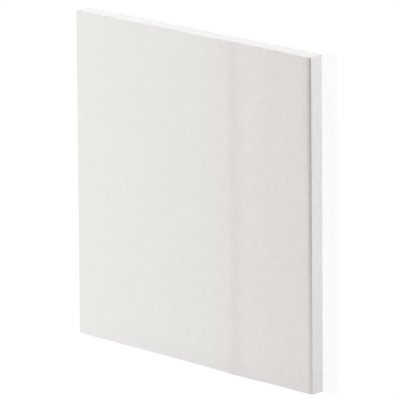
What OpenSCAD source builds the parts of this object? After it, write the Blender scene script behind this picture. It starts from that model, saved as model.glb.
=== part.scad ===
// A square offcut of tapered-edge drywall, lying on its back with the face up.
// X runs across the board towards the wrapped edge, Y along the board, Z up out of the face.
// The origin is the centre of the back face. All sizes are in millimetres.

/* [Sheet] */
// Width across the board, from the sawn side to the wrapped edge
sheet_width = 240; // [150:1:1200]
// Length along the board, between the two sawn ends
sheet_length = 241; // [60:1:3000]
// Thickness of the flat part of the board
sheet_thickness = 12.5; // [9.5:0.1:25]

/* [Tapered strip] */
// Width of the tapered strip, from its crease to the wrapped edge
taper_width = 80; // [45:1:100]
// Width of the ramp beside the crease, where the face falls fastest
ramp_width = 20; // [6:1:30]
// Drop of the face over that ramp
ramp_drop = 1; // [0.2:0.05:1.2]
// Drop of the even slope that runs on from the crease to the wrapped edge
slope_drop = 0.1; // [0.1:0.05:1.2]

/* [Wrapped edge] */
// Width of the rounded shoulder, where the face paper turns down the edge
shoulder_width = 4; // [2:0.1:5]
// Drop of the face over that shoulder
shoulder_drop = 0.8; // [0.4:0.1:1.6]
// Radius of the shoulder's arc
shoulder_radius = 12; // [6:0.5:20]
// Radius of the fold where the edge turns under the back
back_fold_radius = 1; // [0.4:0.1:2]

/* [Hidden] */

// Straight pieces that make up the curve of the ramp
ramp_steps = 12;
// Sides of the circles that round the wrapped edge
round_sides = 96;
// Room past the outline for what is cut away
cut_room = 1;

edge_x = sheet_width / 2;
crease_x = edge_x - taper_width;

// Share of the ramp's drop at a share of its width: steep at the crease, level at its end
function ramp_share(across) = 1 - pow(1 - min(across, 1), 2);

// Height of the face over a point of the tapered strip
function face_z(x) =
    sheet_thickness
    - slope_drop * (x - crease_x) / taper_width
    - ramp_drop * ramp_share((x - crease_x) / ramp_width);

// Centre of an arc that bulges up and to the right on its way down from one point to another
function arc_centre(from, to, radius) =
    let (chord = to - from, half = norm(chord) / 2)
    (from + to) / 2
        + sqrt(pow(radius, 2) - pow(half, 2)) / norm(chord) * [chord[1], -chord[0]];

shoulder_start = [edge_x - shoulder_width, face_z(edge_x - shoulder_width)];
shoulder_end = shoulder_start + [shoulder_width, -shoulder_drop];
shoulder_centre = arc_centre(shoulder_start, shoulder_end, shoulder_radius);

// Outline of the section before the wrapped edge is rounded, with the back on zero
module square_section() {
    ramp = [
        for (step = [ramp_steps : -1 : 0])
            let (x = crease_x + ramp_width * step / ramp_steps) [x, face_z(x)]
    ];
    polygon(concat(
        [[-edge_x, sheet_thickness], [-edge_x, 0], [edge_x, 0], [edge_x, face_z(edge_x)]],
        ramp
    ));
}

// What the shoulder takes off the corner between the face and the edge
module shoulder_waste() {
    translate(shoulder_centre) difference() {
        square(shoulder_radius + cut_room);
        circle(r = shoulder_radius, $fn = round_sides);
    }
}

// What the fold takes off the corner between the edge and the back
module back_fold_waste() {
    translate([edge_x - back_fold_radius, back_fold_radius]) difference() {
        translate([0, -back_fold_radius - cut_room])
            square([back_fold_radius + cut_room, back_fold_radius + cut_room]);
        circle(r = back_fold_radius, $fn = round_sides);
    }
}

module section() {
    difference() {
        square_section();
        shoulder_waste();
        back_fold_waste();
    }
}

module drywall_sheet() {
    color([0.91, 0.90, 0.88])
        rotate([90, 0, 0])
            linear_extrude(height = sheet_length, center = true) section();
}

drywall_sheet();
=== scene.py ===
# A square offcut of tapered-edge drywall, lying on its back on a white floor with the face up.
# X runs across the board towards the wrapped edge, Y along the board, Z up out of the face. Metres.
from collections import namedtuple
from math import cos, radians, sin, sqrt

import bmesh
import bpy
from mathutils import Matrix, Vector


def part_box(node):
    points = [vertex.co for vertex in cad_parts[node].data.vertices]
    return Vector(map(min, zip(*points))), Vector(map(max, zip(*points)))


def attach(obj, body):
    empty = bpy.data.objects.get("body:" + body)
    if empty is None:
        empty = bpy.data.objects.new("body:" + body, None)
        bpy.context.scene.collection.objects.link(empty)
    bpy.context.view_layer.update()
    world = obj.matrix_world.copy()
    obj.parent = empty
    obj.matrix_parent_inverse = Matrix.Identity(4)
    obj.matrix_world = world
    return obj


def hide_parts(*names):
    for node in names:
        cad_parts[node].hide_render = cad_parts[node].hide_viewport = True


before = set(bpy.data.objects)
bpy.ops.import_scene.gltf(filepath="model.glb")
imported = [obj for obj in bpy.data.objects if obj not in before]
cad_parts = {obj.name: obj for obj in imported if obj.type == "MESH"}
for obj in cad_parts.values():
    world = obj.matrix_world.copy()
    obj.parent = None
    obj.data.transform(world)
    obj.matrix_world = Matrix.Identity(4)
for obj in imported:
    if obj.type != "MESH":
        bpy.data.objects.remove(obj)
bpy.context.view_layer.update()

MM = 0.001
X, Y, Z = 0, 1, 2
# A point this near to a plane lies on it
HAIR = 0.01 * MM
# A face whose normal has at least this much of an axis faces that way
SQUARE_ON = 0.9

# The board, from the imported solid
board_low, board_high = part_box("drywall_sheet")
EDGE_X = board_high.x
END_Y = board_high.y
THICKNESS = board_high.z

# The tapered strip: a soft crease, a short ramp, then a nearly level run to the wrapped edge
TAPER_WIDTH = 80 * MM
CREASE_X = EDGE_X - TAPER_WIDTH
RAMP_WIDTH = 20 * MM
RAMP_DROP = 1 * MM
SLOPE_DROP = 0.1 * MM

# How the crease wanders: set back from its line, askew, bowed at both ends, and in waves along the board.
# A wave has its height, its turn in radians from the middle to an end, and its turn at the middle.
CREASE_LEAD = 1.5 * MM
CREASE_SKEW = 0.4 * MM
CREASE_BOW = 1 * MM
CREASE_WAVES = ((0.35 * MM, 3.1, 0.6), (0.22 * MM, 8.3, 2.0), (0.12 * MM, 19.0, 0.0))
CREASE_ROOM = 4 * MM

# The wrapped edge: a rounded shoulder at the face and a fold at the back
SHOULDER_WIDTH = 4 * MM
SHOULDER_DROP = 0.8 * MM
SHOULDER_START_SHARE = 0.15
ARRIS_BEVEL = 0.2 * MM
ARRIS_SEGMENTS = 2
FOLD_RADIUS = 1 * MM
FOLD_ROOM = 6 * MM
TOTAL_DROP = RAMP_DROP + SLOPE_DROP + SHOULDER_DROP
ARRIS_Z = THICKNESS - TOTAL_DROP

# The paper: its thickness in a cut, and the flap of face paper that shows behind the wrapped edge
PAPER = 0.5 * MM
FLAP_X = EDGE_X - 22 * MM
FLAP_STEP = 0.4 * MM
FLAP_RECESS = 0.18 * MM

# The sawn gypsum: torn all over, with a pore here and there. A pore's reach is a share of the spacing.
TEAR_SIZE = 2.2 * MM
TEAR_LAYERS = 3
TEAR_DEPTH = 0.24 * MM
TEAR_FADE = 0.4 * MM
PORE_SPACING = 5 * MM
PORE_REACH = 0.14
PORE_DEPTH = 0.6 * MM

# How far the saw ran out of true: the slack, and as shares of it, what each cut falls short of full size
CUT_SLACK = 1 * MM
CUT_ROOM = 12 * MM
FAR_FACE_SHORT = 0.62
FAR_BACK_SHORT = 0.94
SIDE_SHORT = 1.0
NEAR_SHORT = 0.8
NEAR_RUN = 0.3
NEAR_BULGE = 0.5
BULGE_X = CREASE_X + 15 * MM
BULGE_REACH = 25 * MM

# How finely the board is divided, and how sharp an edge still looks smooth
FLAT_COLUMN = 2.8 * MM
RAMP_COLUMN = 1 * MM
SHOULDER_COLUMN = 0.4 * MM
ROW = 2.5 * MM
CORE_LAYERS = 4
CORE_CUTS = 5
SMOOTH_ANGLE = radians(35)

# What a finish's pattern is made of: lumps of a size, in layers of ever finer lumps, with the strength of
# each finer layer, drawn out along each axis
Grain = namedtuple("Grain", "size layers strength stretch", defaults=(0.5, (1, 1, 1)))
# A pattern lies about its middle, and most of it within this reach
GRAIN_MIDDLE = 0.5
GRAIN_REACH = 0.2

# How little all of the board's surfaces shine
MATT_SPECULAR = 0.25

# The places of the colours among a mix node's sockets, where several sockets share a name
FIRST_COLOUR, SECOND_COLOUR, MIXED_COLOUR = 6, 7, 2

# Colours of the face paper on the flat of the board, on its tapered strip and on its wrapped edge.
# A span is where something starts and where it is complete.
IVORY = (0.805, 0.795, 0.766, 1)
BLUSH = (0.808, 0.777, 0.751, 1)
# The wrapped edge is the face paper made lighter and cooler: painted light for the cool light falling on
# it
EDGE_PAINTED_LIGHT_IVORY = (0.855, 0.836, 0.838, 1)
BLUSH_SPAN = (CREASE_X - 32 * MM, CREASE_X)
EDGE_SPAN = (ARRIS_Z + 0.08 * MM, ARRIS_Z - 0.05 * MM)
FACE_ROUGHNESS = 0.85

# Patterns of the face paper, how dark and light they make it, and its fine relief
MOTTLE = Grain(7 * MM, 4, 0.75)
MOTTLE_REACH = 0.25
MOTTLE_TONES = (0.973, 1.027)
STRIP_MOTTLE = Grain(5 * MM, 4, 0.75)
STRIP_MOTTLE_TONES = (0.972, 1.028)
FIBRES = Grain(0.9 * MM, 2, 0.6, (1, 7, 1))
FIBRE_TONES = (0.988, 1.012)
FLECKS = Grain(2.4 * MM, 1)
FLECK_SPAN = (0.70, 0.78)
FLECK_TONE = 0.97
PAPER_TOOTH = Grain(0.7 * MM, 3, 0.6, (1, 4, 1))
PAPER_WAVES = Grain(6 * MM, 2)
PAPER_RELIEF = 0.03 * MM

# The wrapped edge is streaked along the board
# Painted light makes it lighter towards the back, and painted shade darker towards the face and the near
# end
EDGE_STREAKS = Grain(1.6 * MM, 2, 0.6, (1, 60, 1))
EDGE_STREAK_TONES = (0.975, 1.02)
EDGE_BACK_PAINTED_LIGHT = 1.05
EDGE_FACE_PAINTED_SHADE = 0.99
EDGE_NEAR_PAINTED_SHADE = 0.96

# Painted shade in the crease and along the near end, though less at the sawn side; darker beyond the
# crease
CREASE_SHADE_SPAN = (CREASE_X - 2 * MM, CREASE_X + 3 * MM)
CREASE_SHADE_FADE_SPAN = (CREASE_X + 4 * MM, CREASE_X + 22 * MM)
CREASE_SHADE_TONE = 0.988
STRIP_DARKENING_SPAN = (CREASE_X + 6 * MM, CREASE_X + 48 * MM)
STRIP_DARKENING_TONE = 0.975
NEAR_END_SHADE_SPAN = (-END_Y + 20 * MM, -END_Y)
NEAR_END_SHADE_SIDE_TONE = 0.988
NEAR_END_SHADE_TONE = 0.968

# Painted shade along the score beside the wrapped edge, standing in for the rounded shoulder's dark
# shade.
# It is a beaded line, and a wider darkening towards the far end, each with the share of light that it
# takes
SCORE_SPAN = (EDGE_X - 5 * MM, EDGE_X - 0.7 * MM)
PAST_SCORE_SPAN = (EDGE_X - 0.6 * MM, EDGE_X)
PAST_SCORE_SHARE = 0.5
ABOVE_EDGE_SPAN = (ARRIS_Z - 0.15 * MM, ARRIS_Z - 0.05 * MM)
SCORE_SHADE_BEADS = Grain(5 * MM, 3, 0.6, (8, 1, 8))
SCORE_SHADE_BEAD_SHARES = (0.8, 1.2)
SCORE_SHADE_ALONG_SPAN = (-END_Y, 0.1 * END_Y)
SCORE_SHADE_NEAR = 0.09
SCORE_SHADE_FAR = 0.31
SHOULDER_SHADE_SPAN = (EDGE_X - 10 * MM, EDGE_X - 4 * MM)
SHOULDER_SHADE_ALONG_SPAN = (-0.1 * END_Y, 0.8 * END_Y)
SHOULDER_SHADE_FAR = 0.045

# The back's paper, pale grey and made from waste
LINER_DARK = (0.68, 0.67, 0.64, 1)
LINER_LIGHT = (0.76, 0.75, 0.72, 1)
LINER_BLOTCHES = Grain(14 * MM, 4, 0.65)
LINER_FIBRES = Grain(0.8 * MM, 3, 0.6, (1, 8, 1))
LINER_FIBRE_TONES = (0.95, 1.05)
LINER_FLECKS = Grain(1.5 * MM, 1)
LINER_FLECK_SPAN = (0.68, 0.76)
LINER_FLECK_TONE = 0.82
LINER_RELIEF = 0.05 * MM
LINER_ROUGHNESS = 0.9

# The cut edges of both papers
CUT_PAPER_DARK = (0.69, 0.68, 0.65, 1)
CUT_PAPER_LIGHT = (0.74, 0.73, 0.70, 1)
CUT_TUFTS = Grain(1.5 * MM, 3, 0.6)
CUT_FRAY = Grain(0.4 * MM, 2)
CUT_RELIEF = 0.08 * MM
CUT_ROUGHNESS = 0.95

# The gypsum as the saw leaves it
GYPSUM_DARK = (0.67, 0.67, 0.66, 1)
GYPSUM_LIGHT = (0.70, 0.70, 0.69, 1)
GYPSUM_PATCHES = Grain(5 * MM, 4, 0.6)
GYPSUM_PORES = Grain(0.8 * MM, 2)
GYPSUM_PORE_SPAN = (0.62, 0.72)
GYPSUM_PORE_TONE = 0.86
SAW_TEETH = Grain(0.9 * MM, 2, 0.5, (1, 1, 14))
SAW_TOOTH_TONES = (0.98, 1.02)
GYPSUM_GRIT = Grain(0.6 * MM, 4, 0.65)
GYPSUM_RELIEF = 0.12 * MM
GYPSUM_ROUGHNESS = 0.95

# The floor: what it throws back onto the board, and what the camera sees of it, which is its own glow,
# brighter far from the board, and some of the light that falls on it
FLOOR_SIZE = 12
FLOOR_COLOUR = (0.38, 0.38, 0.38, 1)
FLOOR_SEEN_COLOUR = (0.1, 0.1, 0.1, 1)
FLOOR_GLOW_SPAN = (0.25, 1.2)
FLOOR_GLOW_NEAR = 0.915
FLOOR_GLOW_FAR = 0.98

# The light of the white surroundings on the board
WORLD_FILL = 0.06

# The soft boxes: where each one stands, its width, and its power in watts
SOFT_BOXES = {
    "key": ((-1.97, -0.25, 1.54), 0.8, 67.6),
    "edge": ((1.95, 0.2, 0.25), 0.5, 25.6),
    "far": ((-0.5, 2.42, 0.3), 0.5, 62),
    "near": ((0.2, -2.5, 0.25), 0.5, 32),
}

# The camera, as turned from the face's normal towards the wrapped edge, then up towards the far end.
# Its focal length is in millimetres.
CAMERA_TURN = radians(46.92)
CAMERA_RISE = radians(13.42)
CAMERA_ROLL = radians(-0.52)
CAMERA_DISTANCE = 3.9465
CAMERA_LENS = 502.1
CAMERA_AIM = Vector((2.08 * MM, -1.15 * MM, 6 * MM))


def share_of(value, start, stop):
    """How far a value has come from start to stop, from 0 to 1."""
    return min(max((value - start) / (stop - start), 0), 1)


def spread(low, high, step):
    """Even places from low up to, but without, high, about a step apart."""
    count = max(1, round((high - low) / step))
    return [low + (high - low) * index / count for index in range(count)]


def slice_across(axis, places):
    """Cuts the whole mesh across one axis at each place."""
    normal = Vector((0, 0, 0))
    normal[axis] = 1
    for place in places:
        bpy.ops.mesh.select_all(action="SELECT")
        bpy.ops.mesh.bisect(plane_co=normal * place, plane_no=normal)


def select_faces(piece, wanted):
    """Selects the faces for which wanted(centre, normal) holds."""
    bpy.ops.mesh.select_mode(type="FACE")
    bpy.ops.mesh.select_all(action="DESELECT")
    mesh = bmesh.from_edit_mesh(piece.data)
    for face in mesh.faces:
        face.select_set(wanted(face.calc_center_median(), face.normal))
    bmesh.update_edit_mesh(piece.data)


def select_edges(piece, wanted):
    """Selects the edges for which wanted(end) holds at both ends."""
    bpy.ops.mesh.select_mode(type="EDGE")
    bpy.ops.mesh.select_all(action="DESELECT")
    mesh = bmesh.from_edit_mesh(piece.data)
    for edge in mesh.edges:
        edge.select_set(all(wanted(vertex.co) for vertex in edge.verts))
    bmesh.update_edit_mesh(piece.data)


def weigh(piece, name, weight_at):
    """Makes a vertex group whose weights follow each vertex's place."""
    group = piece.vertex_groups.new(name=name)
    for vertex in piece.data.vertices:
        weight = weight_at(vertex.co)
        if weight > 0:
            group.add([vertex.index], weight, "REPLACE")


def displace(piece, group, strength, direction, texture=None, mid_level=0.0):
    """Moves the vertices of a group along an axis or their normals, by a texture if one is given."""
    modifier = piece.modifiers.new(group, "DISPLACE")
    modifier.vertex_group = group
    modifier.direction = direction
    modifier.strength = strength
    modifier.mid_level = mid_level
    if texture:
        modifier.texture = texture
        modifier.texture_coords = "LOCAL"
    bpy.ops.object.modifier_apply(modifier=modifier.name)


def tear_texture():
    """The uneven break of sawn gypsum."""
    texture = bpy.data.textures.new("saw_tear", "CLOUDS")
    texture.noise_scale = TEAR_SIZE
    texture.noise_depth = TEAR_LAYERS
    return texture


def pore_texture():
    """Round pits, white in the middle, one near each of many scattered points."""
    texture = bpy.data.textures.new("pores", "VORONOI")
    texture.noise_scale = PORE_SPACING
    texture.use_color_ramp = True
    middle, rim = texture.color_ramp.elements
    middle.position = 0
    middle.color = (1, 1, 1, 1)
    rim.position = PORE_REACH
    rim.color = (0, 0, 0, 1)
    return texture


def crease_at(y):
    """Where the crease runs: nearly straight, with the slight wander of a formed edge."""
    along = y / END_Y
    waves = sum(height * sin(turn * along + start) for height, turn, start in CREASE_WAVES)
    return CREASE_X - CREASE_LEAD - CREASE_SKEW * along - CREASE_BOW * along**2 + waves


def ramp_share(across):
    """Share of the ramp's drop: level at the crease, steepest a quarter of the way, level at the end."""
    left = 1 - across
    return 1 - 5 * left**4 + 4 * left**5


def shoulder_share(across):
    """Share of the shoulder's drop: nearly level where it starts and steeper towards the edge."""
    return SHOULDER_START_SHARE * across + (1 - SHOULDER_START_SHARE) * across**2


def face_drop(place):
    """How far the face lies below its flat part, as a share of the whole drop.

    The layers under the face follow in proportion to their height.
    """
    crease = crease_at(place.y)
    drop = RAMP_DROP * ramp_share(share_of(place.x, crease, crease + RAMP_WIDTH))
    drop += SLOPE_DROP * share_of(place.x, crease, EDGE_X)
    drop += SHOULDER_DROP * shoulder_share(share_of(place.x, EDGE_X - SHOULDER_WIDTH, EDGE_X))
    return drop / TOTAL_DROP * place.z / THICKNESS


def fold_inset(place):
    """How far the wrapped edge draws in as it turns under the back, as a share of the fold's radius.

    The back beside it draws in too, less and less away from the edge, so that no face doubles over.
    """
    if place.z > FOLD_RADIUS:
        return 0
    below = 1 - place.z / FOLD_RADIUS
    return (1 - sqrt(1 - below**2)) * share_of(place.x, EDGE_X - FOLD_ROOM, EDGE_X)


def flap_recess(place):
    """One where the back shows the flap of face paper, which lies a liner's thickness deeper."""
    if place.z > HAIR:
        return 0
    return share_of(place.x, FLAP_X, FLAP_X + FLAP_STEP)


def far_cut_short(place):
    """How far the far cut falls short: evenly along the face, and along the back less towards the edge.

    As at the other cuts, the board beside it draws in too, so that no face doubles over.
    """
    left = 1 - share_of(place.x, -EDGE_X, EDGE_X)
    height = place.z / THICKNESS
    short = FAR_FACE_SHORT * height + FAR_BACK_SHORT * left * (1 - height)
    return short * share_of(place.y, END_Y - CUT_ROOM, END_Y)


def near_cut_short(place):
    """How far the near cut falls short: it runs out past the middle and bulges beside the crease."""
    run = share_of(place.x, 0, CREASE_X)
    bulge = max(1 - ((place.x - BULGE_X) / BULGE_REACH) ** 2, 0)
    short = NEAR_SHORT - NEAR_RUN * run - NEAR_BULGE * bulge
    return short * share_of(place.y, -END_Y + CUT_ROOM, -END_Y)


def side_cut_short(place):
    """How far the sawn side falls short: it leans in towards the far end."""
    short = SIDE_SHORT * share_of(place.y, -END_Y, END_Y)
    return short * share_of(place.x, -EDGE_X + CUT_ROOM, -EDGE_X)


def is_cut_face(normal):
    """True on the three sawn sides."""
    return abs(normal.y) > SQUARE_ON or normal.x < -SQUARE_ON


def in_core(place):
    """True between the papers, in the gypsum."""
    return PAPER < place.z < THICKNESS - PAPER and place.x < EDGE_X - PAPER


def is_liner(centre, normal):
    """True on the back's own paper, which ends at the flap."""
    return normal.z < -SQUARE_ON and centre.x < FLAP_X


def is_paper_cut(centre, normal):
    """True on the cut edges of both papers."""
    return is_cut_face(normal) and not in_core(centre)


def is_gypsum_cut(centre, normal):
    """True on the sawn gypsum."""
    return is_cut_face(normal) and in_core(centre)


def on_arris(place):
    """True on the line where the shoulder meets the wrapped edge."""
    return place.x > EDGE_X - HAIR and place.z > ARRIS_Z - HAIR


def torn_share(place):
    """One on the gypsum of the sawn sides, fading out to the papers."""
    on_cut = abs(place.y) > END_Y - HAIR or place.x < -EDGE_X + HAIR
    if not on_cut:
        return 0
    depth = min(place.z - PAPER, THICKNESS - PAPER - place.z, EDGE_X - PAPER - place.x)
    return share_of(depth, 0, TEAR_FADE)


def board_layers():
    """Heights at which the board is sliced: the papers, the fold and the core's layers."""
    core_top = THICKNESS - PAPER
    layer = (core_top - FOLD_RADIUS) / CORE_LAYERS
    return [PAPER / 2, PAPER] + spread(FOLD_RADIUS, core_top, layer) + [core_top]


def board_columns():
    """Places across the board at which it is sliced, closest where the face bends."""
    ramp_start = CREASE_X - CREASE_ROOM
    ramp_end = CREASE_X + RAMP_WIDTH
    shoulder_start = EDGE_X - SHOULDER_WIDTH
    columns = spread(-EDGE_X, ramp_start, FLAT_COLUMN)[1:]
    columns += spread(ramp_start, ramp_end, RAMP_COLUMN)
    columns += spread(ramp_end, FLAP_X, FLAT_COLUMN)
    columns += [FLAP_X]
    columns += spread(FLAP_X + FLAP_STEP, shoulder_start, FLAT_COLUMN)
    columns += spread(shoulder_start, EDGE_X - PAPER, SHOULDER_COLUMN)
    columns += [EDGE_X - PAPER]
    return columns


def make_blank():
    """A block of the board's size, sliced into a grid and still open in edit mode."""
    bpy.ops.object.select_all(action="DESELECT")
    size = board_high - board_low
    bpy.ops.mesh.primitive_cube_add(size=1, location=(board_low + board_high) / 2, scale=size)
    board = bpy.context.object
    board.name = "drywall_board"
    bpy.ops.object.transform_apply(location=True, rotation=True, scale=True)
    bpy.ops.object.mode_set(mode="EDIT")
    slice_across(Z, board_layers())
    slice_across(X, board_columns())
    slice_across(Y, spread(-END_Y, END_Y, ROW)[1:])
    return board


def finish_faces(board):
    """Gives each face its finish, which is face paper where it has no other."""
    board.data.materials.append(make_face_paper())
    other_finishes = (
        (make_back_liner(), is_liner),
        (make_cut_paper(), is_paper_cut),
        (make_gypsum_core(), is_gypsum_cut),
    )
    for finish, wanted in other_finishes:
        board.data.materials.append(finish)
        board.active_material_index = len(board.data.materials) - 1
        select_faces(board, wanted)
        bpy.ops.object.material_slot_assign()


def press_and_saw(board):
    """Presses the taper, turns the wrapped edge under, sets the cuts out of true and tears the gypsum.

    All weights are taken from the plain block, so they come before the first move.
    """
    moves = (
        ("taper", face_drop, -TOTAL_DROP, "Z"),
        ("fold", fold_inset, -FOLD_RADIUS, "X"),
        ("flap", flap_recess, FLAP_RECESS, "Z"),
        ("far_cut", far_cut_short, -CUT_SLACK, "Y"),
        ("near_cut", near_cut_short, CUT_SLACK, "Y"),
        ("side_cut", side_cut_short, CUT_SLACK, "X"),
    )
    weigh(board, "torn", torn_share)
    for name, weight_at, _, _ in moves:
        weigh(board, name, weight_at)
    for name, _, distance, direction in moves:
        displace(board, name, distance, direction)
    displace(board, "torn", TEAR_DEPTH, "NORMAL", tear_texture(), mid_level=1.0)
    displace(board, "torn", -PORE_DEPTH, "NORMAL", pore_texture())


def make_board():
    """The sheet as one closed mesh: sliced into a grid, shaped to its taper, torn where it was sawn."""
    board = make_blank()
    finish_faces(board)
    select_faces(board, is_gypsum_cut)
    bpy.ops.mesh.subdivide(number_cuts=CORE_CUTS)
    bpy.ops.object.mode_set(mode="OBJECT")

    press_and_saw(board)

    bpy.ops.object.mode_set(mode="EDIT")
    select_edges(board, on_arris)
    bpy.ops.mesh.bevel(offset=ARRIS_BEVEL, segments=ARRIS_SEGMENTS)
    bpy.ops.object.mode_set(mode="OBJECT")

    bpy.ops.object.shade_smooth_by_angle(angle=SMOOTH_ANGLE)
    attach(board, "root")
    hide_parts("drywall_sheet")


def matt_material(name, roughness):
    """A material with a dull shader, ready for its patterns."""
    material = bpy.data.materials.new(name)
    material.use_nodes = True
    shader = material.node_tree.nodes["Principled BSDF"]
    shader.inputs["Roughness"].default_value = roughness
    shader.inputs["Specular IOR Level"].default_value = MATT_SPECULAR
    return material, material.node_tree, shader


def feed(tree, socket, value):
    """Links a socket to another node's output, or sets it to a plain value."""
    if isinstance(value, bpy.types.NodeSocket):
        tree.links.new(value, socket)
    else:
        socket.default_value = value


def place_on(tree, stretch=(1, 1, 1)):
    """The place on the board, with each axis drawn out by its stretch."""
    coordinates = tree.nodes.new("ShaderNodeTexCoord")
    mapping = tree.nodes.new("ShaderNodeMapping")
    mapping.inputs["Scale"].default_value = tuple(1 / factor for factor in stretch)
    tree.links.new(coordinates.outputs["Object"], mapping.inputs["Vector"])
    return mapping.outputs["Vector"]


def axes_of(tree):
    """The three coordinates of the place on the board."""
    split = tree.nodes.new("ShaderNodeSeparateXYZ")
    tree.links.new(place_on(tree), split.inputs["Vector"])
    return split.outputs["X"], split.outputs["Y"], split.outputs["Z"]


def noise(tree, grain):
    """A pattern from 0 to 1 with that grain."""
    node = tree.nodes.new("ShaderNodeTexNoise")
    node.inputs["Scale"].default_value = 1 / grain.size
    node.inputs["Detail"].default_value = grain.layers
    node.inputs["Roughness"].default_value = grain.strength
    tree.links.new(place_on(tree, grain.stretch), node.inputs["Vector"])
    return node.outputs["Fac"]


def grade(tree, value, start, stop, low=0.0, high=1.0, soft=True):
    """Runs from low to high as a value goes from start to stop."""
    node = tree.nodes.new("ShaderNodeMapRange")
    node.interpolation_type = "SMOOTHSTEP" if soft else "LINEAR"
    feed(tree, node.inputs["Value"], value)
    node.inputs["From Min"].default_value = start
    node.inputs["From Max"].default_value = stop
    feed(tree, node.inputs["To Min"], low)
    feed(tree, node.inputs["To Max"], high)
    return node.outputs["Result"]


def waver(tree, grain, low, high, reach=GRAIN_REACH):
    """A tone that wavers between low and high with a grain."""
    pattern = noise(tree, grain)
    return grade(tree, pattern, GRAIN_MIDDLE - reach, GRAIN_MIDDLE + reach, low, high, soft=False)


def specks(tree, grain, span, tone):
    """Scattered specks of a tone, where a grain runs highest."""
    return grade(tree, noise(tree, grain), *span, 1, tone)


def toned_where(tree, mask, tone):
    """A tone where a mask is 1, and no change where it is 0."""
    return grade(tree, mask, 0, 1, 1, tone, soft=False)


def calculate(tree, operation, first, second):
    """One step of arithmetic on two values."""
    node = tree.nodes.new("ShaderNodeMath")
    node.operation = operation
    feed(tree, node.inputs[0], first)
    feed(tree, node.inputs[1], second)
    return node.outputs["Value"]


def product(tree, *values):
    """All the values multiplied together."""
    result = values[0]
    for value in values[1:]:
        result = calculate(tree, "MULTIPLY", result, value)
    return result


def shaded(tree, colour, factor):
    """A colour made lighter or darker by a factor."""
    node = tree.nodes.new("ShaderNodeVectorMath")
    node.operation = "SCALE"
    feed(tree, node.inputs["Vector"], colour)
    feed(tree, node.inputs["Scale"], factor)
    return node.outputs["Vector"]


def blended(tree, share, first, second):
    """Two colours mixed by a share of the second."""
    node = tree.nodes.new("ShaderNodeMix")
    node.data_type = "RGBA"
    feed(tree, node.inputs["Factor"], share)
    feed(tree, node.inputs[FIRST_COLOUR], first)
    feed(tree, node.inputs[SECOND_COLOUR], second)
    return node.outputs[MIXED_COLOUR]


def raise_bump(tree, shader, height, depth):
    """Gives the shader a fine relief of that depth."""
    node = tree.nodes.new("ShaderNodeBump")
    node.inputs["Strength"].default_value = 1
    node.inputs["Distance"].default_value = depth
    feed(tree, node.inputs["Height"], height)
    tree.links.new(node.outputs["Normal"], shader.inputs["Normal"])


def paper_tone(tree, on_strip):
    """The paper's own unevenness: mottled, more so on the tapered strip, fibrous and a little flecked."""
    mottle = waver(tree, MOTTLE, *MOTTLE_TONES, MOTTLE_REACH)
    strip_mottle = waver(tree, STRIP_MOTTLE, *STRIP_MOTTLE_TONES, MOTTLE_REACH)
    fibres = waver(tree, FIBRES, *FIBRE_TONES)
    flecks = specks(tree, FLECKS, FLECK_SPAN, FLECK_TONE)
    return product(tree, mottle, fibres, flecks, toned_where(tree, on_strip, strip_mottle))


def edge_streaks_and_painted_light(tree, y, z, on_edge):
    """The wrapped edge's streaks, with painted light towards the back and painted shade towards the near
    end.
    """
    streaks = waver(tree, EDGE_STREAKS, *EDGE_STREAK_TONES)
    # Painted light: lighter towards the back, darker towards the face
    height = grade(tree, z, FOLD_RADIUS, ARRIS_Z, EDGE_BACK_PAINTED_LIGHT, EDGE_FACE_PAINTED_SHADE, soft=False)
    # Painted shade: darker towards the near end
    along = grade(tree, y, -END_Y, 0, EDGE_NEAR_PAINTED_SHADE, 1)
    return toned_where(tree, on_edge, product(tree, streaks, height, along))


def face_painted_shade_and_darkening(tree, x, y):
    """Painted shade in the crease and along the near end, and darker beyond the crease."""
    in_crease = product(tree, grade(tree, x, *CREASE_SHADE_SPAN), grade(tree, x, *CREASE_SHADE_FADE_SPAN, 1, 0))
    # Painted shade in the crease
    crease_shade = toned_where(tree, in_crease, CREASE_SHADE_TONE)
    strip_darkening = grade(tree, x, *STRIP_DARKENING_SPAN, 1, STRIP_DARKENING_TONE)
    # Painted shade along the near end, less at the sawn side
    near_end_shading = grade(tree, x, -EDGE_X, 0, NEAR_END_SHADE_SIDE_TONE, NEAR_END_SHADE_TONE)
    near_end_shade = grade(tree, y, *NEAR_END_SHADE_SPAN, 1, near_end_shading)
    return product(tree, crease_shade, strip_darkening, near_end_shade)


def score_painted_shade(tree, x, y, z):
    """Painted shade: a dark line in the score and a wider darkening beside it, which both end at the
    arris.
    """
    above_edge = grade(tree, z, *ABOVE_EDGE_SPAN)
    to_score = grade(tree, x, *SCORE_SPAN, soft=False)
    past_score = grade(tree, x, *PAST_SCORE_SPAN, 1, PAST_SCORE_SHARE)
    beads = waver(tree, SCORE_SHADE_BEADS, *SCORE_SHADE_BEAD_SHARES)
    # The painted shade grows stronger towards the far end
    score_shade_along = grade(tree, y, *SCORE_SHADE_ALONG_SPAN, SCORE_SHADE_NEAR, SCORE_SHADE_FAR)
    # The way to the score counts twice, so that the painted shade darkens fastest close to it
    score_shade = product(tree, to_score, to_score, past_score, above_edge, beads, score_shade_along)
    shoulder_shade_along = grade(tree, y, *SHOULDER_SHADE_ALONG_SPAN, 0, SHOULDER_SHADE_FAR)
    shoulder_shade = product(tree, grade(tree, x, *SHOULDER_SHADE_SPAN), shoulder_shade_along, above_edge)
    return product(tree, calculate(tree, "SUBTRACT", 1, score_shade), calculate(tree, "SUBTRACT", 1, shoulder_shade))


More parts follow.
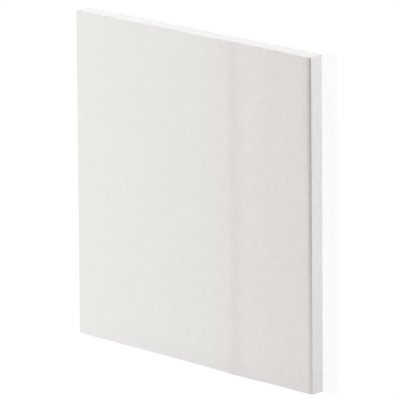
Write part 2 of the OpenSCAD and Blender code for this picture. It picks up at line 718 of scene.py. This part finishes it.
def make_face_paper():
    """Ivory paper: faintly mottled, a shade pinker on the tapered strip, with painted shade along the
    score.
    """
    material, tree, shader = matt_material("face_paper", FACE_ROUGHNESS)
    x, y, z = axes_of(tree)
    on_strip = grade(tree, x, *BLUSH_SPAN)
    on_edge = grade(tree, z, *EDGE_SPAN)
    # On the wrapped edge the paper takes a lighter, cooler colour, which is painted light
    base = blended(tree, on_edge, blended(tree, on_strip, IVORY, BLUSH), EDGE_PAINTED_LIGHT_IVORY)
    # Painted shade in the crease, along the near end and along the score, and darker beyond the crease
    painted_shade_and_darkening = product(tree, face_painted_shade_and_darkening(tree, x, y), score_painted_shade(tree, x, y, z))
    tone = product(tree, paper_tone(tree, on_strip), edge_streaks_and_painted_light(tree, y, z, on_edge), painted_shade_and_darkening)
    tree.links.new(shaded(tree, base, tone), shader.inputs["Base Color"])
    height = calculate(tree, "ADD", noise(tree, PAPER_TOOTH), noise(tree, PAPER_WAVES))
    raise_bump(tree, shader, height, PAPER_RELIEF)
    return material


def make_back_liner():
    """Pale grey paper made from waste: fibrous, flecked and a little blotchy."""
    material, tree, shader = matt_material("back_liner", LINER_ROUGHNESS)
    base = blended(tree, waver(tree, LINER_BLOTCHES, 0, 1), LINER_DARK, LINER_LIGHT)
    fibres = waver(tree, LINER_FIBRES, *LINER_FIBRE_TONES)
    flecks = specks(tree, LINER_FLECKS, LINER_FLECK_SPAN, LINER_FLECK_TONE)
    tree.links.new(shaded(tree, base, product(tree, fibres, flecks)), shader.inputs["Base Color"])
    raise_bump(tree, shader, noise(tree, PAPER_TOOTH), LINER_RELIEF)
    return material


def make_cut_paper():
    """The papers where they were cut: fibrous, and a shade duller than the face."""
    material, tree, shader = matt_material("cut_paper", CUT_ROUGHNESS)
    base = blended(tree, waver(tree, CUT_TUFTS, 0, 1), CUT_PAPER_DARK, CUT_PAPER_LIGHT)
    tree.links.new(base, shader.inputs["Base Color"])
    raise_bump(tree, shader, noise(tree, CUT_FRAY), CUT_RELIEF)
    return material


def make_gypsum_core():
    """White gypsum as the saw leaves it: chalky, with fine pores and the marks of the teeth."""
    material, tree, shader = matt_material("gypsum_core", GYPSUM_ROUGHNESS)
    base = blended(tree, waver(tree, GYPSUM_PATCHES, 0, 1), GYPSUM_DARK, GYPSUM_LIGHT)
    pores = specks(tree, GYPSUM_PORES, GYPSUM_PORE_SPAN, GYPSUM_PORE_TONE)
    teeth = waver(tree, SAW_TEETH, *SAW_TOOTH_TONES)
    tree.links.new(shaded(tree, base, product(tree, pores, teeth)), shader.inputs["Base Color"])
    raise_bump(tree, shader, noise(tree, GYPSUM_GRIT), GYPSUM_RELIEF)
    return material


def seen_rays(tree):
    """One for what the camera sees, also in gloss and through glass, and 0 for what lights the board."""
    path = tree.nodes.new("ShaderNodeLightPath")
    seen = calculate(tree, "MAXIMUM", path.outputs["Is Camera Ray"], path.outputs["Is Glossy Ray"])
    return calculate(tree, "MAXIMUM", seen, path.outputs["Is Transmission Ray"])


def dull_surface(tree, colour):
    """A plain dull surface of one colour."""
    node = tree.nodes.new("ShaderNodeBsdfDiffuse")
    node.inputs["Color"].default_value = colour
    return node.outputs["BSDF"]


def floor_glow(tree):
    """The floor's own glow, brighter far from the board."""
    away = tree.nodes.new("ShaderNodeVectorMath")
    away.operation = "LENGTH"
    tree.links.new(place_on(tree), away.inputs["Vector"])
    strength = grade(tree, away.outputs["Value"], *FLOOR_GLOW_SPAN, FLOOR_GLOW_NEAR, FLOOR_GLOW_FAR)
    node = tree.nodes.new("ShaderNodeEmission")
    tree.links.new(strength, node.inputs["Strength"])
    return node.outputs["Emission"]


def make_white_floor():
    """The floor's finish: white to the camera, with the board's shadow, and greyer to the board."""
    material = bpy.data.materials.new("white_floor")
    material.use_nodes = True
    tree = material.node_tree
    tree.nodes.clear()
    to_camera = tree.nodes.new("ShaderNodeAddShader")
    tree.links.new(dull_surface(tree, FLOOR_SEEN_COLOUR), to_camera.inputs[0])
    tree.links.new(floor_glow(tree), to_camera.inputs[1])
    mix = tree.nodes.new("ShaderNodeMixShader")
    tree.links.new(seen_rays(tree), mix.inputs["Fac"])
    tree.links.new(dull_surface(tree, FLOOR_COLOUR), mix.inputs[1])
    tree.links.new(to_camera.outputs["Shader"], mix.inputs[2])
    output = tree.nodes.new("ShaderNodeOutputMaterial")
    tree.links.new(mix.outputs["Shader"], output.inputs["Surface"])
    return material


def make_floor():
    """A wide level floor under the board."""
    bpy.ops.object.select_all(action="DESELECT")
    bpy.ops.mesh.primitive_plane_add(size=FLOOR_SIZE, location=(0, 0, 0))
    floor = bpy.context.object
    floor.name = "floor"
    floor.data.materials.append(make_white_floor())


def make_world():
    """Even white surroundings: white to the camera, and a soft fill on the board."""
    world = bpy.data.worlds.new("studio")
    bpy.context.scene.world = world
    world.use_nodes = True
    tree = world.node_tree
    background = tree.nodes["Background"]
    background.inputs["Color"].default_value = (1, 1, 1, 1)
    level = grade(tree, seen_rays(tree), 0, 1, WORLD_FILL, 1, soft=False)
    tree.links.new(level, background.inputs["Strength"])


def make_soft_box(name, place, width, power):
    """A square soft box that faces the middle of the board."""
    light = bpy.data.lights.new(name, "AREA")
    light.size = width
    light.energy = power
    lamp = bpy.data.objects.new(name, light)
    lamp.location = place
    lamp.rotation_euler = (-Vector(place)).to_track_quat("-Z", "Y").to_euler()
    lamp.visible_camera = False
    bpy.context.collection.objects.link(lamp)


def make_camera():
    """A long lens that sees the far end of the board at the top of the picture."""
    level = cos(CAMERA_RISE)
    back = Vector((sin(CAMERA_TURN) * level, sin(CAMERA_RISE), cos(CAMERA_TURN) * level))
    right = Vector((0, 1, 0)).cross(back).normalized()
    up = back.cross(right)
    roll = Matrix.Rotation(CAMERA_ROLL, 3, back)
    turn = Matrix((roll @ right, roll @ up, back)).transposed()
    lens = bpy.data.cameras.new("camera")
    lens.lens = CAMERA_LENS
    camera = bpy.data.objects.new("camera", lens)
    camera.matrix_world = Matrix.Translation(CAMERA_AIM + back * CAMERA_DISTANCE) @ turn.to_4x4()
    bpy.context.collection.objects.link(camera)
    bpy.context.scene.camera = camera


make_camera()
make_board()
make_floor()
make_world()
for soft_box_name, soft_box in SOFT_BOXES.items():
    make_soft_box(soft_box_name, *soft_box)
bpy.context.scene.view_settings.view_transform = "Standard"
